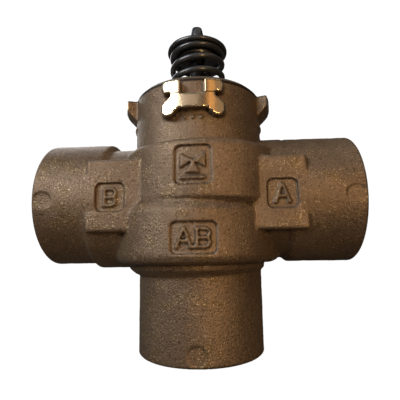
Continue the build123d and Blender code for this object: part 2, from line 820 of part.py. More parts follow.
# ---- return spring and its seat washer, in the bonnet's pocket ----
with BuildPart() as spring_seat:
    revolve(
        band(seat_washer_bore, seat_washer_radius, pocket_z + face_gap / 2, spring_floor - face_gap),
        axis=Axis.Z,
    )

spring_length = cap_z - spring_floor - 2 * wire_radius - 2 * face_gap
with BuildPart() as return_spring:
    with BuildLine():
        coil = Helix(
            pitch=spring_length / spring_turns,
            height=spring_length,
            radius=spring_mean_radius,
            center=(0, 0, spring_floor + wire_radius + face_gap),
        )
    with BuildSketch(Plane(origin=coil @ 0, z_dir=coil % 0)):
        Circle(wire_radius)
    sweep(path=coil)


pieces = {
    "valve_body": valve_body,
    "cage": cage,
    **cage_rings,
    "spool": spool,
    **spool_rings,
    "stem": stem,
    "spool_washer": spool_washer,
    "spool_nut": spool_nut,
    "spring_cap": spring_cap,
    "stem_clip": stem_clip,
    "bonnet": bonnet,
    "bonnet_seal": bonnet_seal,
    "stem_seal_lower": stem_seal_lower,
    "backup_ring": backup_ring,
    "stem_seal_upper": stem_seal_upper,
    "gland_bush": gland_bush,
    "gland_nut": gland_nut,
    "wiper_ring": wiper_ring,
    "retaining_ring": retaining_ring,
    "spring_seat": spring_seat,
    "return_spring": return_spring,
}
os.makedirs("parts", exist_ok=True)
for label, piece in pieces.items():
    piece.part.label = label
    export_step(piece.part, f"parts/{label}.step")
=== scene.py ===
import math
import json
import bpy
import numpy as np
from mathutils import Matrix, Vector

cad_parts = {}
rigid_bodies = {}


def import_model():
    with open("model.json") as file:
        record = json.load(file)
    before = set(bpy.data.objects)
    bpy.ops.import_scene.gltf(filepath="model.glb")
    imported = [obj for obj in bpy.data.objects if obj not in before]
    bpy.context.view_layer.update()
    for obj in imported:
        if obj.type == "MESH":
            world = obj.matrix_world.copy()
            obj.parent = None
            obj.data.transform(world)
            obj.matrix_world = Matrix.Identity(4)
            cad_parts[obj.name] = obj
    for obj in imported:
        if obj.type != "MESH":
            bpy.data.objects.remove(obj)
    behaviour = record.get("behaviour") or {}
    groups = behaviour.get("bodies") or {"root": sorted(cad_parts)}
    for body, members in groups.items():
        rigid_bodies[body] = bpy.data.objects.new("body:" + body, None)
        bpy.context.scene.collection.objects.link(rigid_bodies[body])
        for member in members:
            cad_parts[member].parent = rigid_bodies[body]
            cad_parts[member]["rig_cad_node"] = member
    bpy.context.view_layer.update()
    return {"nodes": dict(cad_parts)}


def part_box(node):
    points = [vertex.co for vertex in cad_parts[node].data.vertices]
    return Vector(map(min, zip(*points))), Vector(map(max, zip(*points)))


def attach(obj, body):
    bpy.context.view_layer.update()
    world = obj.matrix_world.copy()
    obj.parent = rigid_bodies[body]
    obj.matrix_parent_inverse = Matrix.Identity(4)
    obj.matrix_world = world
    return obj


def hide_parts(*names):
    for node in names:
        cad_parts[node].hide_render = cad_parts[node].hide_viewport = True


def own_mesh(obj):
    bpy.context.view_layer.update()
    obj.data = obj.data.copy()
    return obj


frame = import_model()

# ---------------------------------------------------------------------------
# The stage: a plain white floor, a white surround and soft studio light. The
# camera stands low in front of the lettered side and looks slightly upwards.
# ---------------------------------------------------------------------------
port_axis_z = 0.0356
bpy.ops.object.select_all(action="DESELECT")
bpy.ops.mesh.primitive_plane_add(size=6.0, location=(0, 0, 0))
floor = bpy.context.object
floor.name = "floor"
floor_paint = bpy.data.materials.new("floor_paint")
floor_paint.use_nodes = True
floor_nodes = floor_paint.node_tree.nodes
floor_shader = floor_nodes["Principled BSDF"]
floor_shader.inputs["Base Color"].default_value = (0.10, 0.09, 0.08, 1)
floor_shader.inputs["Roughness"].default_value = 0.9
floor_shader.inputs["Specular IOR Level"].default_value = 0.1
floor_shader.inputs["Emission Color"].default_value = (1, 1, 1, 1)
seen_floor = floor_nodes.new("ShaderNodeLightPath")
floor_glow = floor_nodes.new("ShaderNodeMath")       # the white floor shows, and lights nothing
floor_glow.operation = "MULTIPLY"
floor_glow.inputs[1].default_value = 1.0
floor_paint.node_tree.links.new(seen_floor.outputs["Is Camera Ray"], floor_glow.inputs[0])
floor_paint.node_tree.links.new(floor_glow.outputs[0], floor_shader.inputs["Emission Strength"])
floor.data.materials.append(floor_paint)

surround = bpy.data.worlds.new("surround")
bpy.context.scene.world = surround
surround.use_nodes = True
sky = surround.node_tree.nodes["Background"]
sky.inputs["Color"].default_value = (1, 1, 1, 1)
seen_sky = surround.node_tree.nodes.new("ShaderNodeLightPath")
sky_level = surround.node_tree.nodes.new("ShaderNodeMapRange")
sky_level.inputs["To Min"].default_value = 0.05      # what lights the valve
sky_level.inputs["To Max"].default_value = 1.05      # what shows behind it
surround.node_tree.links.new(seen_sky.outputs["Is Camera Ray"], sky_level.inputs["Value"])
surround.node_tree.links.new(sky_level.outputs["Result"], sky.inputs["Strength"])

camera_data = bpy.data.cameras.new("camera")
camera_data.lens = 30.84
camera_data.clip_start = 0.005
camera = bpy.data.objects.new("camera", camera_data)
camera.location = (0.00571, -0.08648, port_axis_z - 0.01187)
camera.rotation_euler = (math.radians(98.19), math.radians(0.87), math.radians(3.80))
bpy.context.scene.collection.objects.link(camera)
bpy.context.scene.camera = camera
bpy.context.scene.view_settings.view_transform = "Standard"


def soft_light(name, turn, lift, distance, width, height, power, colour):
    """Area light at an angle round from the front and up, aimed at the valve."""
    data = bpy.data.lights.new(name, "AREA")
    data.shape = "RECTANGLE"
    data.size = width
    data.size_y = height
    data.energy = power
    data.color = colour
    lamp = bpy.data.objects.new(name, data)
    away = Vector((0, 0, distance))
    away.rotate(Matrix.Rotation(math.radians(90 - lift), 3, "X"))
    away.rotate(Matrix.Rotation(math.radians(turn), 3, "Z"))
    lamp.location = Vector((0, 0, port_axis_z)) + away
    lamp.rotation_euler = (-away).to_track_quat("-Z", "Y").to_euler()
    bpy.context.scene.collection.objects.link(lamp)


soft_light("key_light", -47, 27, 0.50, 0.30, 0.20, 1.45, (0.97, 0.98, 1.0))
soft_light("warm_light", 26, 2, 0.45, 0.05, 0.14, 0.72, (1.0, 0.62, 0.27))
soft_light("front_light", 2, -6, 0.50, 0.12, 0.06, 0.22, (1.0, 0.88, 0.74))
soft_light("top_light", 70, 70, 0.50, 0.30, 0.30, 0.18, (1.0, 0.86, 0.70))
soft_light("hood_light", -12, 58, 0.45, 0.34, 0.16, 0.10, (0.90, 0.95, 1.0))
soft_light("back_light", 215, 35, 0.50, 0.30, 0.30, 0.7, (0.97, 0.98, 1.0))

# dim panels above the lights, seen only as reflections in the cut lugs
soft_light("front_panel", -10, 26, 0.45, 0.22, 0.12, 0.048, (1.0, 0.86, 0.78))
soft_light("warm_panel", 23, 26, 0.44, 0.06, 0.12, 0.030, (1.0, 0.52, 0.16))
soft_light("right_panel", 45, 26, 0.45, 0.22, 0.12, 0.022, (1.0, 0.74, 0.48))


# ---------------------------------------------------------------------------
# Valve body: one sand-cast bronze tee. The skin keeps the grain of the mould;
# port ends, bores, threads and bayonet lugs are turned or milled bright.
# ---------------------------------------------------------------------------
def new_material(name, metallic, roughness):
    """Node material with its shader's even values set; returns it, its tree and its shader."""
    material = bpy.data.materials.new(name)
    material.use_nodes = True
    shader = material.node_tree.nodes["Principled BSDF"]
    shader.inputs["Metallic"].default_value = metallic
    shader.inputs["Roughness"].default_value = roughness
    return material, material.node_tree, shader


def add_node(tree, kind, inputs=(), **settings):
    """Adds a node, sets its properties, and sets or links its inputs."""
    node = tree.nodes.new("ShaderNode" + kind)
    for key, value in settings.items():
        setattr(node, key, value)
    for key, value in dict(inputs).items():
        if isinstance(value, bpy.types.NodeSocket):
            tree.links.new(value, node.inputs[key])
        else:
            node.inputs[key].default_value = value
    return node


def maths(tree, operation, *values):
    """Result socket of a Math node."""
    return add_node(tree, "Math", dict(enumerate(values)), operation=operation).outputs[0]


def across(tree, first, second):
    """Distance from an axis, from the two coordinates that cross it."""
    squares = [maths(tree, "POWER", first, 2), maths(tree, "POWER", second, 2)]
    return maths(tree, "SQRT", maths(tree, "ADD", *squares))


def rise(tree, value, low, high):
    """0 at low, 1 at high and beyond, smooth between; low may be above high."""
    settings = {"Value": value, "From Min": low, "From Max": high}
    return add_node(tree, "MapRange", settings, interpolation_type="SMOOTHSTEP").outputs["Result"]


def tint(tree, share, first, second):
    """Colour between two colours or sockets."""
    inputs = {"Factor": share, 6: first, 7: second}
    return add_node(tree, "Mix", inputs, data_type="RGBA").outputs[2]


def grain(tree, place, scale, detail=2.0, rough=0.5):
    """Noise value, with the scale in cells per metre."""
    inputs = {"Vector": place, "Scale": scale, "Detail": detail, "Roughness": rough}
    return add_node(tree, "TexNoise", inputs).outputs["Fac"]


def tool_marks(tree, path, scale):
    """Fine lines left by a turning tool, along a path value in metres."""
    inputs = {"W": path, "Scale": scale, "Detail": 1.0}
    return add_node(tree, "TexNoise", inputs, noise_dimensions="1D").outputs["Fac"]


def relief(tree, height, depth, strength, under=None):
    """Bump socket for a height of up to depth metres, over another bump."""
    inputs = {"Height": height, "Distance": depth, "Strength": strength}
    if under is not None:
        inputs["Normal"] = under
    return add_node(tree, "Bump", inputs).outputs[0]


def merged_copy(node_name, piece_name):
    """Copy of a CAD node with its triangles welded, selected and active."""
    bpy.ops.object.select_all(action="DESELECT")
    piece = frame["nodes"][node_name].copy()
    piece.data = piece.data.copy()
    piece.name = piece_name
    piece.data.name = piece_name
    del piece["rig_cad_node"]
    piece.parent = None
    piece.data.materials.clear()
    bpy.context.scene.collection.objects.link(piece)
    piece.select_set(True)
    bpy.context.view_layer.objects.active = piece
    bpy.ops.object.mode_set(mode="EDIT")
    bpy.ops.mesh.select_all(action="SELECT")
    bpy.ops.mesh.remove_doubles(threshold=1e-6)
    bpy.ops.mesh.normals_make_consistent(inside=False)
    bpy.ops.object.mode_set(mode="OBJECT")
    return piece


def apply_modifier(piece, kind, **settings):
    """Adds a modifier to the active piece and applies it."""
    modifier = piece.modifiers.new(kind.lower(), kind)
    for key, value in settings.items():
        setattr(modifier, key, value)
    bpy.ops.object.modifier_apply(modifier=modifier.name)


def weight_group(piece, name, weights):
    """Vertex group from an array of weights, rounded to hundredths."""
    group = piece.vertex_groups.new(name=name)
    levels = np.round(weights, 2)
    for level in np.unique(levels[levels > 0]):
        group.add(np.nonzero(levels == level)[0].tolist(), float(level), "REPLACE")
    return group.name


def install(piece, nodes, body, material):
    """Finishes a piece: gives it its material, hides the CAD nodes it stands for and attaches it to
    the body it rides on.
    """
    piece.data.materials.append(material)
    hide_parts(*nodes)
    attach(piece, body)


body_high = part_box("valve_body")[1]
half_length = body_high.x
rim_z = body_high.z
neck_radius = 0.0158
port_reach = 0.0118                  # radius that takes in a port's bore and mouth
gallery_reach = 0.0152               # radius that takes in the passages round the cage
gallery_rise = 0.0130                # how far they go over and under the port axis
gallery_depth = 0.0140               # how far they go to the front and the back
bore_reach = 0.0138                  # radius that takes in the neck's bore
bore_foot = 0.0110                   # port axis up to where the neck's bore starts
lug_foot = 0.0155                    # port axis up to the lower edge of the lugs
step_shadow_height = 0.0215                    # port axis up to the painted shadow line across each lug
front_wall = 0.012                   # what lies further forward than this bears the marks
casting_triangles = 188000
voxel_size = 0.00021

casting = merged_copy("valve_body", "valve_body_casting")
apply_modifier(casting, "REMESH", mode="VOXEL", voxel_size=voxel_size)

skin = np.array([vertex.co for vertex in casting.data.vertices])
x, y, z = skin.T
side = np.abs(x)
above_axis = z - port_axis_z
from_stem = np.hypot(x, y)
from_port_axis = np.hypot(y, above_axis)
inside = (from_stem < port_reach) | (from_port_axis < port_reach)
at_gallery = (np.abs(above_axis) < gallery_rise) & (np.abs(y) < gallery_depth)
inside |= (from_stem < gallery_reach) & at_gallery
inside |= (from_stem < bore_reach) & (above_axis > bore_foot)
ends = (side > half_length - 0.0007) | (z < 0.0007) | (z > rim_z - 0.0014)
lugs = (from_stem > neck_radius + 0.0003) & (above_axis > lug_foot)

# raised and sunk marks on the front: middle out from the stem and up, then reach both ways
mark_places = (
    (0.0185, port_axis_z - 0.0004, 0.0036, 0.0036),         # letters A and B
    (0.0, port_axis_z - 0.0096, 0.0051, 0.0037),            # letters AB
    (0.0, port_axis_z + 0.0052, 0.0042, 0.0045),            # flow symbol in its frame
    (0.0, rim_z - 0.0100, 0.0032, 0.0011),                  # pips under the front lug
    (half_length, port_axis_z - 0.0009, 0.0062, 0.0028),    # sunk spots beside ports A and B
    (0.0, 0.0, 0.0028, 0.0062),                             # sunk spot over port AB
)
marks = np.zeros(len(skin), dtype=bool)
for middle_x, middle_z, reach_x, reach_z in mark_places:
    marks |= (np.abs(side - middle_x) < reach_x) & (np.abs(z - middle_z) < reach_z)
marks &= y < -front_wall
softness = np.where(inside | ends | lugs, 0.0, np.where(marks, 0.10, 1.0))
soft_skin = weight_group(casting, "soft_skin", softness)
apply_modifier(casting, "SMOOTH", factor=0.5, iterations=16, vertex_group=soft_skin)
eased = weight_group(casting, "eased_edges", np.where(lugs | ends, 0.3, 0.0))
apply_modifier(casting, "SMOOTH", factor=0.5, iterations=3, vertex_group=eased)

mould_patterns = (("mould_swell", 0.0034, 0.00014), ("mould_sand", 0.00062, 0.00009))
for pattern_name, cell, height in mould_patterns:
    pattern = bpy.data.textures.new(pattern_name, "CLOUDS")
    pattern.noise_scale = cell
    pattern.noise_depth = 2
    apply_modifier(casting, "DISPLACE", texture=pattern, texture_coords="LOCAL", strength=height,
                   mid_level=0.5, vertex_group=soft_skin)

# the marks and lugs keep their fine mesh when the rest is thinned
coarse = weight_group(casting, "coarse_mesh", np.where(marks | lugs, 0.0, 1.0))
kept_share = min(1.0, casting_triangles / (2 * len(casting.data.polygons)))
apply_modifier(casting, "DECIMATE", vertex_group=coarse, vertex_group_factor=1.0, ratio=kept_share)
casting.vertex_groups.clear()
bpy.ops.object.shade_smooth()

bronze, tree, shader = new_material("cast_bronze_skin", 0.6, 0.5)
place = add_node(tree, "TexCoord").outputs["Object"]
along_x, along_y, along_z = add_node(tree, "SeparateXYZ", {0: place}).outputs
height_z = maths(tree, "SUBTRACT", along_z, port_axis_z)
side_x = maths(tree, "ABSOLUTE", along_x)
side_y = maths(tree, "ABSOLUTE", along_y)
stem_r = across(tree, along_x, along_y)
port_r = across(tree, along_y, height_z)
edge = add_node(tree, "NewGeometry").outputs["Pointiness"]

# cut metal: lug faces, rim, port ends and threads, and the neck's bore
off_side = rise(tree, side_y, 0.010, 0.012)
front_face = maths(tree, "MULTIPLY", rise(tree, stem_r, 0.01745, 0.01765), off_side)
side_face = rise(tree, stem_r, 0.01815, 0.01830)
lug_face = maths(tree, "MAXIMUM", front_face, side_face)
on_lug = maths(tree, "MULTIPLY", lug_face, rise(tree, height_z, lug_foot - 0.0005, lug_foot))
on_rim = rise(tree, along_z, rim_z - 0.00010, rim_z - 0.00002)
on_end = maths(tree, "MAXIMUM", rise(tree, side_x, half_length - 0.0004, half_length - 0.0002),
               rise(tree, along_z, 0.0004, 0.0002))
in_side_bore = rise(tree, port_r, port_reach, port_reach - 0.0003)
in_side_port = maths(tree, "MULTIPLY", in_side_bore, rise(tree, side_x, 0.0195, 0.0200))
in_foot_bore = rise(tree, stem_r, port_reach, port_reach - 0.0003)
in_foot_port = maths(tree, "MULTIPLY", in_foot_bore, rise(tree, along_z, 0.0215, 0.0205))
in_neck_bore = rise(tree, stem_r, bore_reach + 0.0001, bore_reach - 0.0002)
in_neck = maths(tree, "MULTIPLY", in_neck_bore, rise(tree, height_z, bore_foot - 0.0005, bore_foot))
cut = maths(tree, "MAXIMUM", on_lug, on_rim)
for zone in (on_end, in_side_port, in_foot_port, in_neck):
    cut = maths(tree, "MAXIMUM", cut, zone)

# cast skin: broad and patchy tones, sand grain with dark specks, bright specks and dots painted on
# as glints, painted shade in the hollows, edges painted lighter as wear and highlight
broad = grain(tree, place, 75, 3.0)
patch = grain(tree, place, 260, 3.0, 0.6)
sand = grain(tree, place, 2600, 2.5, 0.65)
fine = grain(tree, place, 5200, 2.0, 0.5)
# bright dots on chosen cells are painted glints: a lighter colour that stands in for sparkling
# light
cells = add_node(tree, "TexVoronoi", {"Vector": place, "Scale": 2500})
cell_number = add_node(tree, "SeparateColor", {0: cells.outputs["Color"]}).outputs[0]
chosen = rise(tree, cell_number, 0.70, 0.74)
painted_glints = maths(tree, "MULTIPLY", rise(tree, cells.outputs["Distance"], 0.42, 0.20), chosen)
painted_glints = maths(tree, "MULTIPLY", painted_glints, rise(tree, patch, 0.46, 0.64))
broad_tone = rise(tree, broad, 0.38, 0.62)
skin_colour = tint(tree, broad_tone, (0.200, 0.138, 0.088, 1), (0.245, 0.175, 0.116, 1))
skin_colour = tint(tree, rise(tree, patch, 0.50, 0.72), skin_colour, (0.215, 0.145, 0.070, 1))
dark_specks = maths(tree, "MULTIPLY", rise(tree, sand, 0.46, 0.34), 0.80)
skin_colour = tint(tree, dark_specks, skin_colour, (0.070, 0.045, 0.028, 1))
# bright sand specks, lighter where the patches are, also painted on as glints
specks_and_painted_glints = maths(tree, "MULTIPLY", rise(tree, sand, 0.59, 0.72), rise(tree, patch, 0.36, 0.58))
specks_and_painted_glints = maths(tree, "MAXIMUM", specks_and_painted_glints, painted_glints)
skin_colour = tint(tree, specks_and_painted_glints, skin_colour, (0.60, 0.49, 0.36, 1))
# painted shade: near-black colour in the hollows and creases, where shade falls
painted_hollow_shade = maths(tree, "MULTIPLY", rise(tree, edge, 0.492, 0.445), 0.92)
skin_colour = tint(tree, painted_hollow_shade, skin_colour, (0.016, 0.011, 0.008, 1))
# convex edges painted lighter: rubbed wear and a painted highlight where the edges catch light
edge_wear_and_painted_highlight = maths(tree, "MULTIPLY", rise(tree, edge, 0.53, 0.60), 0.5)
skin_colour = tint(tree, edge_wear_and_painted_highlight, skin_colour, (0.50, 0.39, 0.28, 1))
rim_band = maths(tree, "MULTIPLY", rise(tree, along_z, rim_z - 0.0010, rim_z - 0.0008), 0.85)
skin_colour = tint(tree, rim_band, skin_colour, (0.190, 0.165, 0.120, 1))
# painted shadow: a dark line under the rim's band
rim_shadow_foot = rise(tree, along_z, rim_z - 0.0018, rim_z - 0.0015)
painted_rim_shadow = maths(tree, "MULTIPLY", rim_shadow_foot, rise(tree, along_z, rim_z - 0.0009, rim_z - 0.0011))
skin_colour = tint(tree, painted_rim_shadow, skin_colour, (0.025, 0.016, 0.010, 1))

# cut metal: brighter, with tool lines round each bore and a painted shadow line across the lugs
# where they step
cut_colour = tint(tree, grain(tree, place, 420, 2.0), (0.62, 0.47, 0.30, 1), (0.78, 0.62, 0.42, 1))
# painted shadow: a dark line across each lug, under its upper block
off_step_shadow = maths(tree, "ABSOLUTE", maths(tree, "SUBTRACT", height_z, step_shadow_height))
painted_step_shadow = maths(tree, "MULTIPLY", on_lug, rise(tree, off_step_shadow, 0.00016, 0.00007))
cut_colour = tint(tree, painted_step_shadow, cut_colour, (0.10, 0.05, 0.02, 1))
tree.links.new(tint(tree, cut, skin_colour, cut_colour), shader.inputs["Base Color"])
tree.links.new(maths(tree, "MULTIPLY_ADD", cut, 0.4, 0.6), shader.inputs["Metallic"])
dull = maths(tree, "MULTIPLY_ADD", sand, 0.26, 0.33)
dull = maths(tree, "SUBTRACT", dull, maths(tree, "MULTIPLY", specks_and_painted_glints, 0.16))
cut_sheen = maths(tree, "MULTIPLY_ADD", patch, 0.14, 0.16)
sheen_mix = add_node(tree, "Mix", {"Factor": cut, 2: dull, 3: cut_sheen})
tree.links.new(sheen_mix.outputs[0], shader.inputs["Roughness"])
side_turned = rise(tree, side_x, 0.0195, 0.0205)
tool_stem = maths(tree, "ADD", stem_r, along_z)
tool_side = maths(tree, "ADD", port_r, side_x)
tool_path = add_node(tree, "Mix", {"Factor": side_turned, 2: tool_stem, 3: tool_side}).outputs[0]
tool_height = maths(tree, "MULTIPLY", tool_marks(tree, tool_path, 7000), cut)
cast = maths(tree, "SUBTRACT", 1.0, cut)
bump = relief(tree, maths(tree, "MULTIPLY", sand, cast), 0.00017, 0.80)
bump = relief(tree, maths(tree, "MULTIPLY", fine, cast), 0.00005, 0.35, bump)
bump = relief(tree, tool_height, 0.00001, 0.35, bump)
tree.links.new(bump, shader.inputs["Normal"])
install(casting, ["valve_body"], "housing", bronze)


# ---------------------------------------------------------------------------
# Port threads: a right-hand pipe thread cut into each of the three ports. Each
# ridge is a swept tooth whose root lies in the wall of the bore.
# ---------------------------------------------------------------------------
thread_pitch = 0.001814
thread_turns = 7
thread_root = 0.01062
thread_crest = 0.00945
thread_start = 0.0012                # middle of the first turn, from the end of the bore
tooth_height = thread_root - thread_crest
root_share = 0.84                    # of the pitch, at the root of a tooth
crest_share = 0.18                   # of the root's width, at the crest
port_depth = 0.0150

bpy.ops.object.select_all(action="DESELECT")
bpy.ops.mesh.primitive_plane_add(size=1.0, location=(0, 0, 0))
tooth = bpy.context.object
bpy.ops.object.mode_set(mode="EDIT")
bpy.ops.mesh.select_all(action="SELECT")
bpy.ops.transform.rotate(value=math.pi / 2, orient_axis="X", center_override=(0, 0, 0))
bpy.ops.transform.resize(value=(tooth_height, 1, thread_pitch * root_share))
bpy.ops.transform.translate(value=(thread_root - tooth_height / 2, 0, thread_start))
bpy.ops.mesh.delete(type="ONLY_FACE")
bpy.ops.object.mode_set(mode="OBJECT")
for vertex in tooth.data.vertices:
    if vertex.co.x < thread_root - tooth_height / 2:
        vertex.co.z = thread_start + (vertex.co.z - thread_start) * crest_share
apply_modifier(tooth, "SCREW", axis="Z", angle=2 * math.pi, screw_offset=thread_pitch,
               iterations=thread_turns, steps=72, render_steps=72)
bpy.ops.object.mode_set(mode="EDIT")
bpy.ops.mesh.select_all(action="SELECT")
bpy.ops.mesh.remove_doubles(threshold=1e-7)
bpy.ops.mesh.fill_holes(sides=4)
bpy.ops.mesh.select_all(action="SELECT")
bpy.ops.mesh.normals_make_consistent(inside=False)
bpy.ops.object.mode_set(mode="OBJECT")
bpy.ops.object.shade_smooth_by_angle(angle=math.radians(35))

cut_bronze, tree, shader = new_material("cut_bronze", 1.0, 0.26)
place = add_node(tree, "TexCoord").outputs["Object"]
dirt = rise(tree, grain(tree, place, 900, 3.0, 0.6), 0.40, 0.70)
thread_colour = tint(tree, dirt, (0.66, 0.47, 0.27, 1), (0.40, 0.27, 0.14, 1))
tree.links.new(thread_colour, shader.inputs["Base Color"])
tree.links.new(maths(tree, "MULTIPLY_ADD", dirt, 0.22, 0.20), shader.inputs["Roughness"])
tree.links.new(relief(tree, grain(tree, place, 6000), 0.00002, 0.4), shader.inputs["Normal"])

side_turn = Matrix.Rotation(math.pi / 2, 4, "Y")
port_floor = half_length - port_depth
thread_places = {
    "port_thread_ab": Matrix.Identity(4),
    "port_thread_a": Matrix.Translation((port_floor, 0, port_axis_z)) @ side_turn,
    "port_thread_b": Matrix.Translation((-port_floor, 0, port_axis_z)) @ side_turn.inverted(),
}
for name, seat in thread_places.items():
    ridge = tooth.copy()
    ridge.data = tooth.data.copy()
    ridge.name = name
    ridge.data.transform(seat)
    bpy.context.scene.collection.objects.link(ridge)
    ridge.data.materials.append(cut_bronze)
    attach(ridge, "housing")
bpy.data.objects.remove(tooth)


# ---------------------------------------------------------------------------
# Cage: a moulded black cartridge of glass-filled plastic, pushed down the neck.
# Its mould edges are slightly rounded and its skin shows short fibres.
# ---------------------------------------------------------------------------
def eased_copy(node, name, edge_size):
    """Welded copy of a CAD node with its sharp edges broken by a small bevel."""
    piece = merged_copy(node, name)
    bpy.ops.object.mode_set(mode="EDIT")
    bpy.ops.mesh.select_all(action="SELECT")
    bpy.ops.mesh.dissolve_limited(angle_limit=math.radians(0.5))
    bpy.ops.object.mode_set(mode="OBJECT")
    apply_modifier(piece, "BEVEL", width=edge_size, segments=2, limit_method="ANGLE",
                   angle_limit=math.radians(50))
    bpy.ops.object.shade_smooth_by_angle(angle=math.radians(28))
    return piece


black_nylon, tree, shader = new_material("glass_filled_nylon", 0.0, 0.48)
place = add_node(tree, "TexCoord").outputs["Object"]
stretched = add_node(tree, "Mapping", {"Vector": place, "Scale": (1.0, 1.0, 0.25)}).outputs[0]
fibres = grain(tree, stretched, 3600, 2.0, 0.7)
bare_fibres = rise(tree, fibres, 0.55, 0.70)
nylon_colour = tint(tree, bare_fibres, (0.020, 0.020, 0.022, 1), (0.065, 0.063, 0.060, 1))
tree.links.new(nylon_colour, shader.inputs["Base Color"])
nylon_sheen = maths(tree, "MULTIPLY_ADD", grain(tree, place, 500), 0.25, 0.34)
tree.links.new(nylon_sheen, shader.inputs["Roughness"])
tree.links.new(relief(tree, fibres, 0.00004, 0.35), shader.inputs["Normal"])
install(eased_copy("cage", "cage_moulding", 0.00012), ["cage"], "housing", black_nylon)


# ---------------------------------------------------------------------------
# Seals: moulded rubber O-rings, stretched into the grooves of the cage, spool and
# bonnet and packed round the stem. They keep the shape that the solids give them.
# ---------------------------------------------------------------------------
def dress(node_name, material):
    """Gives a CAD node that is shown as it is its material."""
    mesh = frame["nodes"][node_name].data
    mesh.materials.clear()
    mesh.materials.append(material)


rubber, tree, shader = new_material("moulded_rubber", 0.0, 0.55)
place = add_node(tree, "TexCoord").outputs["Object"]
bloom = rise(tree, grain(tree, place, 700, 4.0, 0.6), 0.45, 0.75)
rubber_colour = tint(tree, bloom, (0.012, 0.012, 0.013, 1), (0.040, 0.040, 0.042, 1))
tree.links.new(rubber_colour, shader.inputs["Base Color"])
tree.links.new(maths(tree, "MULTIPLY_ADD", bloom, 0.25, 0.42), shader.inputs["Roughness"])
tree.links.new(relief(tree, grain(tree, place, 4500), 0.00002, 0.3), shader.inputs["Normal"])
for name in frame["nodes"]:
    if "seal" in name:
        dress(name, rubber)


# ---------------------------------------------------------------------------
# Spool: a turned brass sleeve on three spokes, with two grooves for its rings.
# It slides in the cage and is screwed to the stem by a washer and a nut.
# ---------------------------------------------------------------------------
turned_brass, tree, shader = new_material("turned_brass", 1.0, 0.24)
place = add_node(tree, "TexCoord").outputs["Object"]
along_x, along_y, along_z = add_node(tree, "SeparateXYZ", {0: place}).outputs
tool_lines = tool_marks(tree, maths(tree, "ADD", across(tree, along_x, along_y), along_z), 8000)
tarnish = rise(tree, grain(tree, place, 230, 4.0, 0.6), 0.42, 0.72)
brass_colour = tint(tree, tarnish, (0.78, 0.57, 0.28, 1), (0.56, 0.37, 0.17, 1))
tree.links.new(brass_colour, shader.inputs["Base Color"])
tree.links.new(maths(tree, "MULTIPLY_ADD", tarnish, 0.20, 0.18), shader.inputs["Roughness"])
tree.links.new(relief(tree, tool_lines, 0.00001, 0.4), shader.inputs["Normal"])
sleeve = eased_copy("spool", "spool_sleeve", 0.0001)
install(sleeve, ["spool"], "stem_unit", turned_brass)

bright_steel, tree, shader = new_material("stamped_stainless", 1.0, 0.3)
place = add_node(tree, "TexCoord").outputs["Object"]
rolled = add_node(tree, "Mapping", {"Vector": place, "Scale": (0.08, 1.0, 1.0)}).outputs[0]
lines = grain(tree, rolled, 5200, 2.0, 0.6)
steel_colour = tint(tree, lines, (0.42, 0.42, 0.41, 1), (0.66, 0.65, 0.63, 1))
tree.links.new(steel_colour, shader.inputs["Base Color"])
tree.links.new(maths(tree, "MULTIPLY_ADD", lines, 0.20, 0.20), shader.inputs["Roughness"])
tree.links.new(relief(tree, lines, 0.00001, 0.4), shader.inputs["Normal"])
lock_nut = eased_copy("spool_nut", "spool_lock_nut", 0.00012)
install(lock_nut, ["spool_nut"], "stem_unit", bright_steel)
lock_washer = eased_copy("spool_washer", "spool_lock_washer", 0.00006)
install(lock_washer, ["spool_washer"], "stem_unit", bright_steel)


# ---------------------------------------------------------------------------
# Stem: a ground and darkened steel rod with a collar under the bonnet, a groove
# for the clip and a blunt tapered tip that the actuator pushes.
# ---------------------------------------------------------------------------
dark_steel, tree, shader = new_material("darkened_steel", 1.0, 0.22)
place = add_node(tree, "TexCoord").outputs["Object"]
ground = add_node(tree, "Mapping", {"Vector": place, "Scale": (0.15, 0.15, 1.0)}).outputs[0]
lines = grain(tree, ground, 9000, 2.0, 0.6)
worn = rise(tree, grain(tree, place, 900, 3.0), 0.50, 0.75)
stem_colour = tint(tree, worn, (0.110, 0.110, 0.115, 1), (0.28, 0.28, 0.28, 1))
tree.links.new(stem_colour, shader.inputs["Base Color"])
tree.links.new(maths(tree, "MULTIPLY_ADD", lines, 0.22, 0.20), shader.inputs["Roughness"])
tree.links.new(relief(tree, lines, 0.00001, 0.3), shader.inputs["Normal"])
rod = eased_copy("stem", "stem_rod", 0.00018)
install(rod, ["stem"], "stem_unit", dark_steel)


# ---------------------------------------------------------------------------
# Bonnet: a turned brass plug that guides the stem. Its packing chamber holds two
# rings, a backup ring and a bush under a hexagonal gland nut with a wiper.
# ---------------------------------------------------------------------------
plug = eased_copy("bonnet", "bonnet_plug", 0.00025)
install(plug, ["bonnet"], "housing", turned_brass)
hexagon = eased_copy("gland_nut", "gland_hexagon", 0.0002)
install(hexagon, ["gland_nut"], "housing", turned_brass)
wiper = eased_copy("wiper_ring", "stem_wiper", 0.00012)
install(wiper, ["wiper_ring"], "housing", rubber)

white_plastic, tree, shader = new_material("turned_white_plastic", 0.0, 0.42)
place = add_node(tree, "TexCoord").outputs["Object"]
along_z = add_node(tree, "SeparateXYZ", {0: place}).outputs[2]
lines = tool_marks(tree, along_z, 9000)
shade = grain(tree, place, 600, 3.0)
plastic_colour = tint(tree, shade, (0.78, 0.77, 0.73, 1), (0.88, 0.87, 0.84, 1))
tree.links.new(plastic_colour, shader.inputs["Base Color"])
tree.links.new(maths(tree, "MULTIPLY_ADD", shade, 0.2, 0.32), shader.inputs["Roughness"])
tree.links.new(relief(tree, lines, 0.00001, 0.3), shader.inputs["Normal"])
for name in ("backup_ring", "gland_bush"):
    dress(name, white_plastic)


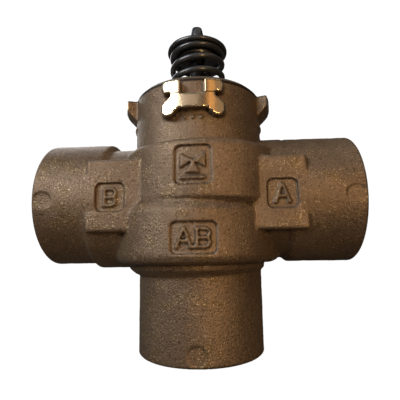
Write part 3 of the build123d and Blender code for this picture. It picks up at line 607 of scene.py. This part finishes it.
# ---------------------------------------------------------------------------
# Retaining ring: a phosphated spring-steel snap ring in the neck's groove, with
# two eared ends for pliers. It holds the bonnet and the cage down.
# ---------------------------------------------------------------------------
grey_steel, tree, shader = new_material("phosphated_steel", 0.85, 0.5)
place = add_node(tree, "TexCoord").outputs["Object"]
crystals = grain(tree, place, 5000, 3.0, 0.7)
oily = rise(tree, grain(tree, place, 300, 3.0), 0.40, 0.70)
ring_colour = tint(tree, crystals, (0.050, 0.050, 0.052, 1), (0.16, 0.16, 0.16, 1))
tree.links.new(ring_colour, shader.inputs["Base Color"])
tree.links.new(maths(tree, "MULTIPLY_ADD", oily, -0.22, 0.55), shader.inputs["Roughness"])
tree.links.new(relief(tree, crystals, 0.00002, 0.5), shader.inputs["Normal"])
snap_ring = eased_copy("retaining_ring", "neck_snap_ring", 0.00015)
install(snap_ring, ["retaining_ring"], "housing", grey_steel)


# ---------------------------------------------------------------------------
# Return spring: oiled black wire wound right-hand, with closed and ground ends.
# It stands on a steel washer in the bonnet's pocket and lifts the cap and stem.
# ---------------------------------------------------------------------------
seat_washer = eased_copy("spring_seat", "spring_seat_washer", 0.0001)
install(seat_washer, ["spring_seat"], "housing", bright_steel)

wire_radius = 0.0008
skin_gap = 0.00002                   # keeps the wire off the washer and the cap
spring_low, spring_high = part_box("return_spring")
coil_radius = spring_high.x - wire_radius - skin_gap
spring_foot = spring_low.z + skin_gap
spring_crown = spring_high.z - skin_gap
coil_pitch = 0.00355
closed_share = 0.5                   # of a turn that lies flat at each end
ease_share = 0.18                    # of a turn, each side of where the wire starts to climb
ground_share = 0.55                  # of the wire's radius that is left when its end is ground
points_per_turn = 40
wire_foot = spring_foot + wire_radius * ground_share
wire_crown = spring_crown - wire_radius * ground_share
open_turns = (wire_crown - wire_foot) / coil_pitch
whole_turns = open_turns + 2 * closed_share
crown_angle = math.radians(80)       # where the top end of the wire lies


def wire_drop(turn):
    """How far the wire lies under its top end: flat, then even, then flat again."""
    opened = turn - closed_share
    left = open_turns - opened
    if opened < ease_share:
        return max(0.0, opened + ease_share) ** 2 / (4 * ease_share) * coil_pitch
    if left < ease_share:
        return (open_turns - max(0.0, left + ease_share) ** 2 / (4 * ease_share)) * coil_pitch
    return opened * coil_pitch


wire_line = bpy.data.curves.new("return_spring_coil", "CURVE")
wire_line.dimensions = "3D"
wire_line.bevel_depth = wire_radius
wire_line.bevel_resolution = 5
wire_line.use_fill_caps = True
wire_run = wire_line.splines.new("POLY")
wire_count = round(whole_turns * points_per_turn) + 1
wire_run.points.add(wire_count - 1)
for index in range(wire_count):
    turn = whole_turns * index / (wire_count - 1)
    angle = crown_angle - 2 * math.pi * turn
    wire_x = coil_radius * math.cos(angle)
    wire_y = coil_radius * math.sin(angle)
    wire_run.points[index].co = (wire_x, wire_y, wire_crown - wire_drop(turn), 1)
spring = bpy.data.objects.new("return_spring_coil", wire_line)
bpy.context.scene.collection.objects.link(spring)
bpy.ops.object.select_all(action="DESELECT")
spring.select_set(True)
bpy.context.view_layer.objects.active = spring
bpy.ops.object.convert(target="MESH")
spring = bpy.context.object
for vertex in spring.data.vertices:
    vertex.co.z = min(max(vertex.co.z, spring_foot), spring_crown)
bpy.ops.object.shade_smooth_by_angle(angle=math.radians(40))

black_oxide, tree, shader = new_material("oiled_black_oxide", 0.6, 0.3)
place = add_node(tree, "TexCoord").outputs["Object"]
film = grain(tree, place, 450, 3.0, 0.6)
pits = grain(tree, place, 3800, 2.0, 0.6)
in_pits = rise(tree, pits, 0.55, 0.75)
oxide_colour = tint(tree, in_pits, (0.062, 0.065, 0.072, 1), (0.150, 0.150, 0.152, 1))
tree.links.new(oxide_colour, shader.inputs["Base Color"])
tree.links.new(maths(tree, "MULTIPLY_ADD", film, 0.20, 0.24), shader.inputs["Roughness"])
tree.links.new(relief(tree, pits, 0.00003, 0.3), shader.inputs["Normal"])
shader.inputs["Coat Weight"].default_value = 0.5
shader.inputs["Coat Roughness"].default_value = 0.12
install(spring, ["return_spring"], "housing", black_oxide)
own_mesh(spring)


# ---------------------------------------------------------------------------
# Spring cap and clip: a pressed and blackened cap sits over the top coil, and a
# stainless clip in the stem's groove holds it down.
# ---------------------------------------------------------------------------
pressing = eased_copy("spring_cap", "spring_cap_pressing", 0.0002)
install(pressing, ["spring_cap"], "stem_unit", black_oxide)
clip = eased_copy("stem_clip", "stem_retaining_clip", 0.0001)
install(clip, ["stem_clip"], "stem_unit", bright_steel)
